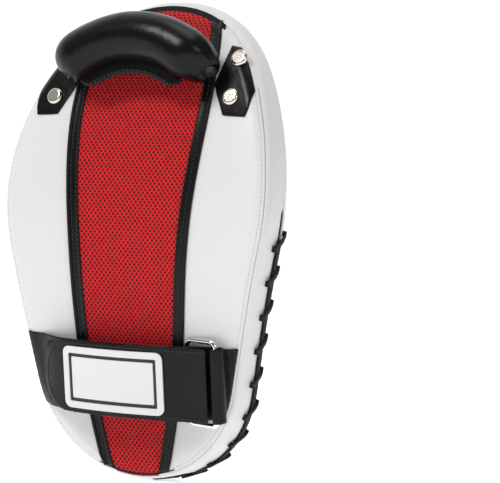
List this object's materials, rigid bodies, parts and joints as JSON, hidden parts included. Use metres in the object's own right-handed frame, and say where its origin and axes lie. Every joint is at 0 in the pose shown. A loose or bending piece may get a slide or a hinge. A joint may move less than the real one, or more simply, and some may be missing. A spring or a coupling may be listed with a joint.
{
  "type": "focus mitt",
  "caption": "Curved oval striking pad with a white shell, a red mesh back, a riveted padded hand grip, a hook-and-loop wrist strap through a metal ring, and a laced side.",
  "frame": {"origin": "middle of the back panel's surface, where the forearm lies", "axes": "+Z along the pad from the wrist strap towards the hand grip, +Y through the pad towards the striking face, +X to the wearer's right, where the lacing and the ring are"},
  "size_m": [0.2521, 0.1096, 0.3958],
  "materials": {
    "white_leather": "smooth synthetic leather with a fine grain, satin",
    "black_leather": "smooth leather, satin, soft creases",
    "strap_leather": "smooth leather, edge-stitched",
    "red_mesh": "open red spacer mesh with a staggered pattern of holes",
    "black_cloth": "plain black woven lining",
    "black_webbing": "ribbed woven webbing",
    "black_lace": "flat woven lace",
    "hook_and_loop": "hook-and-loop pile",
    "foam": "closed-cell foam, inside the pad",
    "grip_foam": "soft foam, inside the grip",
    "board": "stiff plastic sheet, inside the pad",
    "chrome_wire": "polished chromed steel wire",
    "nickel": "warm nickel plate, polished",
    "label_white": "moulded soft plastic, satin",
    "label_black": "moulded soft plastic, matt"
  },
  "bodies": {
    "pad": {"back_foam": "foam", "stiffener_board": "board", "middle_foam": "foam", "front_foam": "foam", "striking_cover": "black_leather", "side_wall": "white_leather", "wall_back_strip": "white_leather", "wall_face_strip": "white_leather", "lacing_underlay": "black_cloth", "lace": "black_lace", "back_panel_left": "white_leather", "back_panel_right": "white_leather", "binding_left": "black_leather", "binding_right": "black_leather", "mesh_panel": "red_mesh", "mesh_lining": "black_cloth", "grip_tab_left": "black_leather", "grip_tab_right": "black_leather", "rivet_caps": "nickel", "rivet_posts": "nickel", "rivet_washers": "nickel", "strap_lower": "strap_leather", "loop_pad": "hook_and_loop", "ring_keeper": "black_webbing"},
    "grip": {"grip_cover": "black_leather", "grip_core": "grip_foam", "grip_webbing": "black_webbing", "grip_flange": "black_leather"},
    "ring": {"ring": "chrome_wire", "strap_fold": "strap_leather"},
    "flap": {"strap_upper": "strap_leather", "hook_pad": "hook_and_loop", "label_backing": "label_black", "label_frame": "label_white", "label_plate": "label_white"}
  },
  "joints": [
    {"name": "grip_rock", "type": "hinge", "parent": "pad", "child": "grip", "pos_m": [0, 0, 0.127], "axis": [1, 0, 0], "range_deg": [-15, 20], "stiffness_Nm_per_rad": 2.5},
    {"name": "ring_swivel", "type": "hinge", "parent": "pad", "child": "ring", "pos_m": [0.057, 0.00683, -0.1186], "axis": [0, 0.1305, -0.9914], "range_deg": [0, 25]},
    {"name": "strap_peel", "type": "hinge", "parent": "ring", "child": "flap", "pos_m": [0.0815, -0.00586, -0.12027], "axis": [0, -0.1305, 0.9914], "range_deg": [0, 150]}
  ],
  "couplings": [
    {"joint": "strap_peel", "follows": "ring_swivel", "ratio": 6}
  ]
}
